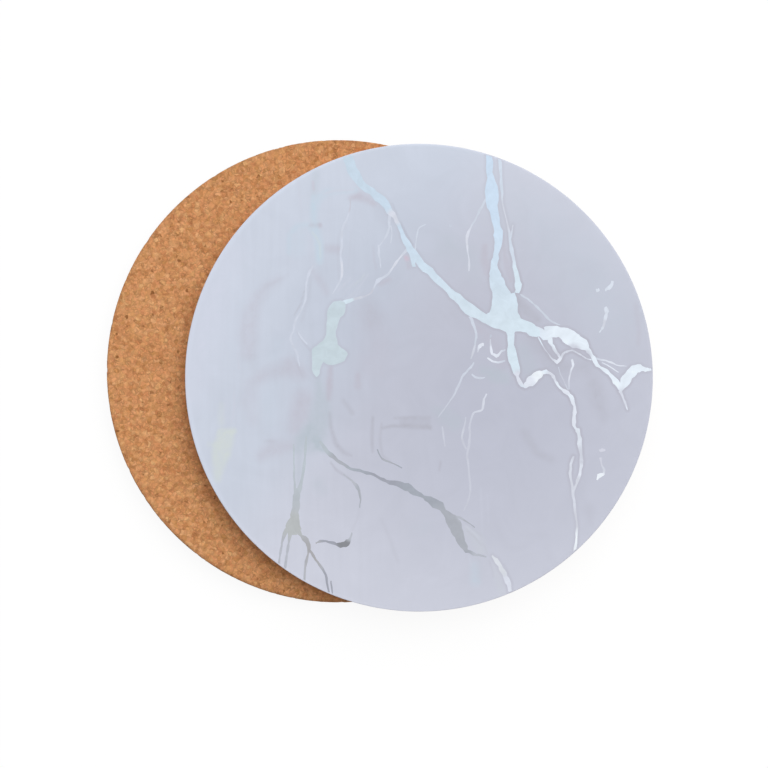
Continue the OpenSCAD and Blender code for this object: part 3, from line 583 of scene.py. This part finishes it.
def marble_ground(tree, place, cloud):
    """Lavender-grey ground of the print, with clouds about 11 mm wide."""
    apart = add_node(tree, "ShaderNodeSeparateXYZ", {0: place})
    # It is darkest right of the middle and lighter to the rim
    darkest = (0.34, -0.03)
    rim = spread(tree, reach_from(tree, place, darkest), (0.0, 1.30), smooth=True)
    warm = tone_ramp(
        tree, rim, (0.0, colours().marble_heart), (0.5, colours().marble_field),
        (1.0, colours().marble_rim))
    # To the left and the top it is bluer: a touch less red
    less_red = (0.955, 1.0, 1.01, 1.0)
    lean = maths(tree, "MULTIPLY_ADD", apart.outputs["X"], -1.5, apart.outputs["Y"])
    cool = spread(tree, lean, (0.0, 0.85), smooth=True)
    ground = mixed(tree, cool, warm, less_red, "MULTIPLY")
    # Rain-like streaks 1 mm wide run up and down its left half
    streak_place = add_node(tree, "ShaderNodeMapping", {"Vector": place, "Scale": (42.0, 3.2, 1.0)})
    streak = noise(tree, streak_place.outputs[0], scale=1.0, distortion=0.3)
    streak_depth = spread(tree, apart.outputs["X"], (0.05, -0.45), (0.0, 0.07), smooth=True)
    level = maths(
        tree, "MULTIPLY_ADD", maths(tree, "SUBTRACT", streak, 0.5), streak_depth,
        spread(tree, cloud, (0.25, 0.75), (0.972, 1.028)))
    # A painted highlight: a thin paler edge runs round its rim, most on the left and hardly on the right
    highlight_middle = (0.014, 0.0)
    rim_highlight = spread(
        tree, reach_from(tree, place, highlight_middle), (0.985, 1.004), (1.0, 1.06), smooth=True)
    return scaled(tree, ground, product(tree, level, rim_highlight))


def foil_edge_shade(tree, place, cloud):
    """How strong the thin band of painted shade beside the wide foil is, strongest round the right
    branch.
    """
    right_branch = (0.55, 0.12)
    vein_start = (-0.30, 0.94)
    gap = add_node(tree, "ShaderNodeAttribute", attribute_name="foil_gap").outputs["Fac"]
    near = spread(tree, gap, (0.1, 0.8), (1.0, 0.0), smooth=True)
    strength = spread(tree, reach_from(tree, place, right_branch), (0.2, 0.75), (0.60, 0.24), smooth=True)
    # It is missing where the first wide vein starts at the rim
    present = spread(tree, reach_from(tree, place, vein_start), (0.10, 0.30))
    clump = spread(tree, cloud, (0.35, 0.6), (0.4, 1.0))
    return product(tree, near, strength, present, clump)


def marble_laminate(coaster):
    """Melamine laminate pressed against a polished plate over a printed marble decor.

    It gives the eye a cool lavender-grey ground, lighter to the rim, with soft stains, painted shade
    beside the foil, a painted highlight at the rim's edge and a satin gloss.
    """
    material, tree = new_material(f"Melamine laminate, marble print, {coaster}")
    place = print_place(tree, coaster)
    cloud = noise(tree, place, scale=4.5, detail=4.0, roughness=0.55, distortion=1.4)
    # Painted shade, rose-grey, in a thin band beside the wide foil
    foil_shade_rose_grey = "#B5B3C1"
    colour = mixed(
        tree, foil_edge_shade(tree, place, cloud), marble_ground(tree, place, cloud), foil_shade_rose_grey)
    # Each wash breaks up a little in the paper's grain
    grain = noise(tree, place, scale=26.0, detail=3.0, roughness=0.6, distortion=0.8)
    break_up = spread(tree, grain, (0.3, 0.7), (0.65, 1.2))
    for ink, code in INKS.items():
        wash = add_node(tree, "ShaderNodeAttribute", attribute_name=f"{ink}_wash").outputs["Fac"]
        colour = mixed(tree, maths(tree, "MULTIPLY", wash, break_up, clamp=True), colour, code)
    # Orange peel about 1.5 mm wide, far shallower than a hair
    peel = noise(tree, place, scale=34.0, detail=1.0)
    finish_material(tree, {
        "Base Color": colour, "Roughness": 0.24, "IOR": 1.5,
        "Normal": bumped(tree, peel, strength=0.08, depth_mm=0.02)})
    return material


def foil_finish(coaster, name, left, right, across, up, spots):
    """Hot-stamped aluminium foil, lacquered thinly, with the satin skin of the stamping pad.

    It gives the eye a pale metal that drifts in tint along the veins, partly its own tint and partly
    painted reflection of the studio. The arguments from left on are those of a row of FOILS.
    """
    material, tree = new_material(f"Hot-stamped aluminium foil, {name}, {coaster}")
    place = print_place(tree, coaster)
    apart = add_node(tree, "ShaderNodeSeparateXYZ", {0: place})
    across, up = ([end / PER_RADIUS for end in ends] for ends in (across, up))
    over = spread(tree, apart.outputs["X"], across, smooth=True)
    rise = spread(tree, apart.outputs["Y"], up, smooth=True)
    sides = [mixed(tree, rise, low, high) for low, high in (left, right)]
    colour = mixed(tree, over, *sides)
    # A spot has its full tint over the inner part of its reach
    full_share = 0.4
    for *spot, tint_name in spots:
        x, y, reach = (value / PER_RADIUS for value in spot)
        apart_from = reach_from(tree, place, (x, y))
        near = spread(tree, apart_from, (reach, reach * full_share), smooth=True)
        colour = mixed(tree, near, colour, FOIL_TINTS[tint_name])
    # Cloudy bloom of the stamping, 2 to 3 mm wide
    bloom = noise(tree, place, scale=20.0, detail=3.0, roughness=0.6, distortion=0.6)
    tint = scaled(tree, colour, spread(tree, bloom, (0.3, 0.7), (0.94, 1.06)))
    skin = spread(tree, bloom, (0.3, 0.7), (0.28, 0.38))
    # Crinkles 0.3 mm wide that the pad leaves in the foil
    crinkle = noise(tree, place, scale=160.0)
    finish_material(tree, {
        "Base Color": tint, "Metallic": 1.0, "Roughness": skin,
        "Normal": bumped(tree, crinkle, strength=0.12, depth_mm=0.02)})
    return material


def bark_specks(tree, bent):
    """Where a speck of bark lies. Its middle is 0.5 mm wide, and only some of the places hold one."""
    apart_mm = 1.9
    specks = add_node(tree, "ShaderNodeTexVoronoi", {"Vector": bent, "Scale": 1 / apart_mm})
    chance = add_node(tree, "ShaderNodeSeparateColor", {0: specks.outputs["Color"]})
    near = spread(tree, specks.outputs["Distance"], (0.24, 0.12))
    return product(tree, near, spread(tree, chance.outputs[0], (0.45, 0.85), (0.0, 0.80)))


def painted_rim_shade(tree, place, coaster):
    """Painted shade along the pad's rim, strongest toward -Y, the side away from the light, where the
    photo shows a thin dark line.
    """
    flat_place = vector_maths(tree, "MULTIPLY", print_place(tree, coaster), (1.0, 1.0, 0.0))
    reach = vector_maths(tree, "LENGTH", flat_place)
    apart = add_node(tree, "ShaderNodeSeparateXYZ", {0: place})
    dark = spread(tree, apart.outputs["Y"], (-45.0, -10.0), (0.72, 0.90))
    return spread(tree, reach, (0.980, 0.995), (1.0, dark))


def pressed_cork(coaster):
    """Agglomerated cork, pressed from granules and sanded flat.

    It gives the eye warm tan granules in many near tones, thin darker seams, bark specks, painted shade
    along the rim, most toward -Y, and a dead matt skin.
    """
    material, tree = new_material("Agglomerated cork, sanded")
    place = place_in_mm(tree)
    granule = sizes().granule / MM
    # Granules are squeezed out of shape, so their cells are bent
    bends_per_granule, granules_moved = 1.1, 1.5
    bend = add_node(tree, "ShaderNodeTexNoise", {
        "Vector": place, "Scale": bends_per_granule / granule, "Detail": 2.0})
    bend_from_mean = vector_maths(tree, "SUBTRACT", bend.outputs["Color"], (0.5, 0.5, 0.5))
    bent = vector_maths(
        tree, "MULTIPLY_ADD", bend_from_mean, (granules_moved * granule,) * 3, place)
    cells = add_node(tree, "ShaderNodeTexVoronoi", {
        "Vector": bent, "Scale": 1 / granule, "Smoothness": 0.35}, feature="SMOOTH_F1")
    seams = add_node(tree, "ShaderNodeTexVoronoi", {
        "Vector": bent, "Scale": 1 / granule}, feature="DISTANCE_TO_EDGE")
    chance = add_node(tree, "ShaderNodeSeparateColor", {0: cells.outputs["Color"]})
    tones = tone_ramp(
        tree, chance.outputs[0], (0.0, colours().cork_dark), (0.22, "#D59361"),
        (0.5, colours().cork_body), (0.85, "#E3A673"), (1.0, colours().cork_pale))
    # Some granules lean to olive and some to rose
    lean = tone_ramp(tree, chance.outputs[1], (0.0, "#DBAA69"), (0.5, "#E19F6B"), (1.0, "#E89A70"))
    lean_share = 0.28
    colour = mixed(tree, lean_share, tones, lean)
    # Clumps of cork cells, 0.3 to 0.6 mm wide, cross the granules
    fine = noise(tree, bent, scale=1.6, detail=1.0)
    fine_level = spread(tree, fine, (0.3, 0.7), (0.80, 1.17))
    # Only some seams show, as curved dark strokes up to 0.4 mm wide
    seam_dark = spread(tree, noise(tree, bent, scale=0.8, detail=1.0), (0.40, 0.62), (0.97, 0.68))
    seam_level = spread(tree, seams.outputs["Distance"], (0.0, 0.24), (seam_dark, 1.0), smooth=True)
    colour = scaled(tree, colour, product(tree, fine_level, seam_level))
    colour = mixed(tree, bark_specks(tree, bent), colour, colours().cork_bark)
    # Painted shade along the rim, darkest toward -Y
    colour = scaled(tree, colour, painted_rim_shade(tree, place, coaster))
    height = maths(tree, "MULTIPLY_ADD", fine, 0.5, seam_level)
    finish_material(tree, {
        "Base Color": colour, "Roughness": 0.9, "Specular IOR Level": 0.3,
        "Normal": bumped(tree, height, strength=0.5, depth_mm=0.12)})
    return material


def edge_sealer():
    """Brown sealer brushed on the cut edge of hardboard.

    It gives the eye a dark satin band with the board's flat fibres showing through as fine level lines.
    """
    material, tree = new_material("Brushed edge sealer on hardboard")
    flat = add_node(tree, "ShaderNodeMapping", {"Vector": place_in_mm(tree), "Scale": (0.35, 0.35, 5.0)})
    fibre = noise(tree, flat.outputs[0], scale=1.0, detail=4.0, roughness=0.6)
    colour = tone_ramp(tree, fibre, (0.3, "#42301F"), (0.5, colours().lacquer), (0.72, "#7A5A41"))
    finish_material(tree, {
        "Base Color": colour, "Roughness": spread(tree, fibre, (0.3, 0.7), (0.36, 0.55)),
        "Normal": bumped(tree, fibre, strength=0.4, depth_mm=0.05)})
    return material


def fibre_board():
    """Hardboard, pressed from wood fibre: a dense brown felt with paler strands."""
    material, tree = new_material("Hardboard, hot-pressed")
    felt = noise(tree, place_in_mm(tree), scale=2.2, detail=5.0, roughness=0.7, distortion=1.5)
    colour = tone_ramp(tree, felt, (0.3, "#5A3F2B"), (0.5, "#7A573B"), (0.7, "#9B7654"))
    finish_material(tree, {
        "Base Color": colour, "Roughness": 0.8,
        "Normal": bumped(tree, felt, strength=0.4, depth_mm=0.05)})
    return material


def dried_glue():
    """Contact adhesive, rolled on and dried: a thin amber film, cloudy where it is thicker."""
    material, tree = new_material("Contact adhesive, rolled")
    cloud = noise(tree, place_in_mm(tree), scale=0.5, detail=4.0)
    colour = tone_ramp(tree, cloud, (0.3, "#D9C391"), (0.7, "#F0E3BF"))
    finish_material(tree, {"Base Color": colour, "Roughness": 0.45})
    return material


def dress_node(name, material):
    """Gives a CAD node that stays a better material."""
    node = NODES[name]
    for material_slot in node.material_slots:
        material_slot.material = material
    if not node.material_slots:
        raise RuntimeError(f"{name} has no material slot")


class COASTER_OT_marble_sheets(bpy.types.Operator):
    """Model the two marble laminates: a thin glossy disc with a softened edge and a soft print"""
    bl_idname = "coaster.marble_sheets"
    bl_label = "Marble laminates"

    def execute(self, context):
        size = sizes()
        face = COASTER_HEIGHT - size.foil_rise
        under = SHEET_LOW.z - UPPER_CENTRE.z
        edge = round_edge(size.disc_radius, face, size.sheet_round, steps=6, way=1)
        model = shaped_disc("marble_sheet_model", size.sheet_spans, edge + [(size.disc_radius, under)])
        add_print(model)
        bpy.ops.object.shade_smooth_by_angle(angle=math.radians(35))
        for coaster in COASTERS:
            sheet = lay_in_frame(
                model, coaster, f"{coaster}_marble_sheet", f"{coaster}_decor_laminate")
            sheet.data.materials.append(marble_laminate(coaster))
        drop_model(model)
        return {"FINISHED"}


class COASTER_OT_cork_discs(bpy.types.Operator):
    """Model the two cork pads: a sanded face with seams and pits, and a crumbly softened edge"""
    bl_idname = "coaster.cork_discs"
    bl_label = "Cork pads"

    def execute(self, context):
        size = sizes()
        top = CORK_HIGH.z - CORK_LOW.z
        wall_steps = 4
        wall = [
            (size.disc_radius, size.cork_round + (top - size.cork_round) * i / wall_steps)
            for i in range(1, wall_steps + 1)
        ]
        edge = round_edge(size.disc_radius, 0, size.cork_round, steps=3, way=-1)
        model = shaped_disc("cork_disc_model", size.cork_spans, edge + wall)
        # All but the glued face, at the top of the model, is free to sink
        glued_depth = 0.05 * MM
        outside = model.vertex_groups.new(name="outside")
        free = np.flatnonzero(own_places(model)[:, 2] < top - glued_depth)
        outside.add(free.tolist(), 1.0, "REPLACE")
        for texture, depth in (
                (self.granule_seams(size.granule), size.granule_relief),
                (self.broken_granules(size.granule), size.pit_depth)):
            relief = model.modifiers.new(texture.name, "DISPLACE")
            relief.texture = texture
            relief.texture_coords = "LOCAL"
            relief.direction = "NORMAL"
            relief.mid_level = 1.0
            relief.strength = depth
            relief.vertex_group = outside.name
            bpy.ops.object.modifier_apply(modifier=relief.name)
        bpy.ops.object.shade_smooth_by_angle(angle=math.radians(60))
        for coaster in COASTERS:
            disc = lay_in_frame(model, coaster, f"{coaster}_cork_disc", f"{coaster}_cork_pad")
            disc.data.materials.append(pressed_cork(coaster))
        drop_model(model)
        return {"FINISHED"}

    def granule_seams(self, granule):
        """Seams between granules, which only sink into the cork."""
        seams = bpy.data.textures.new("granule seams", "VORONOI")
        seams.noise_scale = granule
        seams.weight_1, seams.weight_2 = -1.0, 1.0
        seams.noise_intensity = 1.6
        return seams

    def broken_granules(self, granule):
        """Pits where a granule has broken out, which only sink into the cork too."""
        granules_apart = 2.4
        pits = bpy.data.textures.new("broken granules", "VORONOI")
        pits.noise_scale = granules_apart * granule
        pits.use_color_ramp = True
        stops = pits.color_ramp.elements
        stops[0].position, stops[0].color = 0.16, (0, 0, 0, 1)
        stops[1].position, stops[1].color = 0.30, (1, 1, 1, 1)
        return pits


class COASTER_OT_foil_veins(bpy.types.Operator):
    """Finish the pressed foil of both prints, whose tint drifts over the face, partly as painted
    reflection
    """
    bl_idname = "coaster.foil_veins"
    bl_label = "Foil veins"

    def execute(self, context):
        for coaster in COASTERS:
            for node, slot, *finish in FOILS:
                dress_node(f"{coaster}_{node}", foil_finish(coaster, *finish))
        return {"FINISHED"}


class COASTER_OT_boards(bpy.types.Operator):
    """Finish the board, its sealed edge and the glue film of both coasters"""
    bl_idname = "coaster.boards"
    bl_label = "Boards, edges and glue"

    def execute(self, context):
        finishes = (
            ("core_board", fibre_board(), "hardboard"), ("edge_lacquer", edge_sealer(), "lacquer"),
            ("glue_film", dried_glue(), "glue"))
        for coaster in COASTERS:
            for node, material, slot in finishes:
                dress_node(f"{coaster}_{node}", material)
        return {"FINISHED"}


class COASTER_OT_stage(bpy.types.Operator):
    """Set the plain pale floor, the soft studio light and the camera straight above"""
    bl_idname = "coaster.stage"
    bl_label = "Floor, light and camera"

    def execute(self, context):
        scene = context.scene
        settings = scene.coaster_stage
        # The floor lies a hair under the coasters, so that no two faces share one level
        below = 0.02 * MM
        start_fresh()
        bpy.ops.mesh.primitive_plane_add(size=6, location=(0, 0, -below))
        floor = context.object
        floor.name = "floor"
        floor.data.materials.append(self.floor_paint())

        # The picture's middle lies a little left of the upper coaster's and below it
        aim = Vector((9.94 * MM, -2.75 * MM, UPPER_CENTRE.z + COASTER_HEIGHT))
        above = aim + Vector((0, 0, settings.camera_height))
        bpy.ops.object.camera_add(location=above, rotation=(0, 0, 0))
        camera = context.object
        camera.name = "overhead_camera"
        camera.data.sensor_width = 36
        camera.data.lens = camera.data.sensor_width * settings.camera_height / settings.frame_width
        scene.camera = camera

        # A wide square softbox: how far round from +X, down from straight above, and away it is
        turn, tilt, distance = math.radians(64), math.radians(33), 1.5
        way = Vector((math.sin(tilt) * math.cos(turn), math.sin(tilt) * math.sin(turn), math.cos(tilt)))
        bpy.ops.object.light_add(type="AREA", location=aim + distance * way)
        softbox = context.object
        softbox.name = "softbox"
        softbox.data.shape = "SQUARE"
        softbox.data.size = 1.5
        softbox.data.energy = settings.key_watts
        softbox.rotation_euler = way.to_track_quat("Z", "Y").to_euler()
        # The foil mirrors the even studio, not the softbox, or it would burn out on the upper right
        softbox.visible_glossy = False

        self.world_light(scene, settings.ambient)
        scene.view_settings.view_transform = "Standard"
        return {"FINISHED"}

    def seen(self, tree, ray):
        """1 where the camera looks, straight, by a gloss or through a clear thing, and 0 for light."""
        look = maths(tree, "MAXIMUM", ray.outputs["Is Camera Ray"], ray.outputs["Is Glossy Ray"])
        return maths(tree, "MAXIMUM", look, ray.outputs["Is Transmission Ray"])

    def floor_paint(self):
        """Matt white board. The camera sees it near white, and it keeps a pale shadow."""
        material, tree = new_material("Matt white board")
        seen = self.seen(tree, add_node(tree, "ShaderNodeLightPath"))
        shade_share, glow_level = 0.11, 0.912
        tooth = add_node(tree, "ShaderNodeTexNoise", {"Scale": 900.0, "Detail": 2.0})
        paint = add_node(tree, "ShaderNodeBsdfDiffuse", {
            "Color": colours().floor,
            "Normal": bumped(tree, tooth.outputs["Fac"], strength=0.05, depth_mm=0.02)})
        shade = add_node(tree, "ShaderNodeBsdfDiffuse", {"Color": (shade_share,) * 3 + (1,)})
        glow = add_node(tree, "ShaderNodeEmission", {"Color": (1, 1, 1, 1), "Strength": glow_level})
        seen_white = add_node(tree, "ShaderNodeAddShader", {0: shade.outputs[0], 1: glow.outputs[0]})
        surface = add_node(tree, "ShaderNodeMixShader", {
            0: seen, 1: paint.outputs[0], 2: seen_white.outputs[0]})
        add_node(tree, "ShaderNodeOutputMaterial", {"Surface": surface.outputs[0]})
        return material

    def world_light(self, scene, ambient):
        """Even light from all round. What the camera, a gloss or a clear thing sees of it is white."""
        world = bpy.data.worlds.new("studio")
        scene.world = world
        world.use_nodes = True
        tree = world.node_tree
        tree.nodes.clear()
        ray = add_node(tree, "ShaderNodeLightPath")
        # A gloss that looks level sees the studio fall off to its walls
        way = add_node(tree, "ShaderNodeTexCoord")
        rise = add_node(tree, "ShaderNodeSeparateXYZ", {0: way.outputs["Generated"]})
        wall_level = 0.74
        wall = spread(tree, rise.outputs["Z"], (0.0, 0.6), (wall_level, 1.0), smooth=True)
        bright = add_node(tree, "ShaderNodeMix", {
            0: ray.outputs["Is Glossy Ray"], 2: 1.0, 3: wall}, data_type="FLOAT")
        strength = spread(tree, self.seen(tree, ray), (0.0, 1.0), (ambient, bright.outputs[0]))
        light = add_node(tree, "ShaderNodeBackground", {"Color": (1, 1, 1, 1), "Strength": strength})
        add_node(tree, "ShaderNodeOutputWorld", {"Surface": light.outputs[0]})


OPERATORS = (
    COASTER_OT_marble_sheets, COASTER_OT_cork_discs, COASTER_OT_foil_veins, COASTER_OT_boards,
    COASTER_OT_stage)


class COASTER_PT_panel(bpy.types.Panel):
    """The steps that dress the coasters, in order"""
    bl_idname = "COASTER_PT_panel"
    bl_label = "Drink coasters"
    bl_space_type = "VIEW_3D"
    bl_region_type = "UI"
    bl_category = "Coasters"

    def draw(self, context):
        for kind in OPERATORS:
            self.layout.operator(kind.bl_idname)
        for group_name in GROUPS:
            group = getattr(context.scene, group_name)
            box = self.layout.box()
            for name in group.bl_rna.properties.keys():
                if name not in ("rna_type", "name"):
                    box.prop(group, name)


CLASSES = (CoasterSizes, CoasterColours, StageSettings) + OPERATORS + (COASTER_PT_panel,)
GROUPS = {
    "coaster_sizes": CoasterSizes, "coaster_colours": CoasterColours, "coaster_stage": StageSettings}


def register():
    for kind in CLASSES:
        bpy.utils.register_class(kind)
    for name, group in GROUPS.items():
        setattr(bpy.types.Scene, name, bpy.props.PointerProperty(type=group))


def unregister():
    for name in GROUPS:
        delattr(bpy.types.Scene, name)
    for kind in reversed(CLASSES):
        bpy.utils.unregister_class(kind)


def main():
    register()
    bpy.ops.coaster.marble_sheets()
    bpy.ops.coaster.cork_discs()
    bpy.ops.coaster.foil_veins()
    bpy.ops.coaster.boards()
    bpy.ops.coaster.stage()


if __name__ == "__main__":
    main()
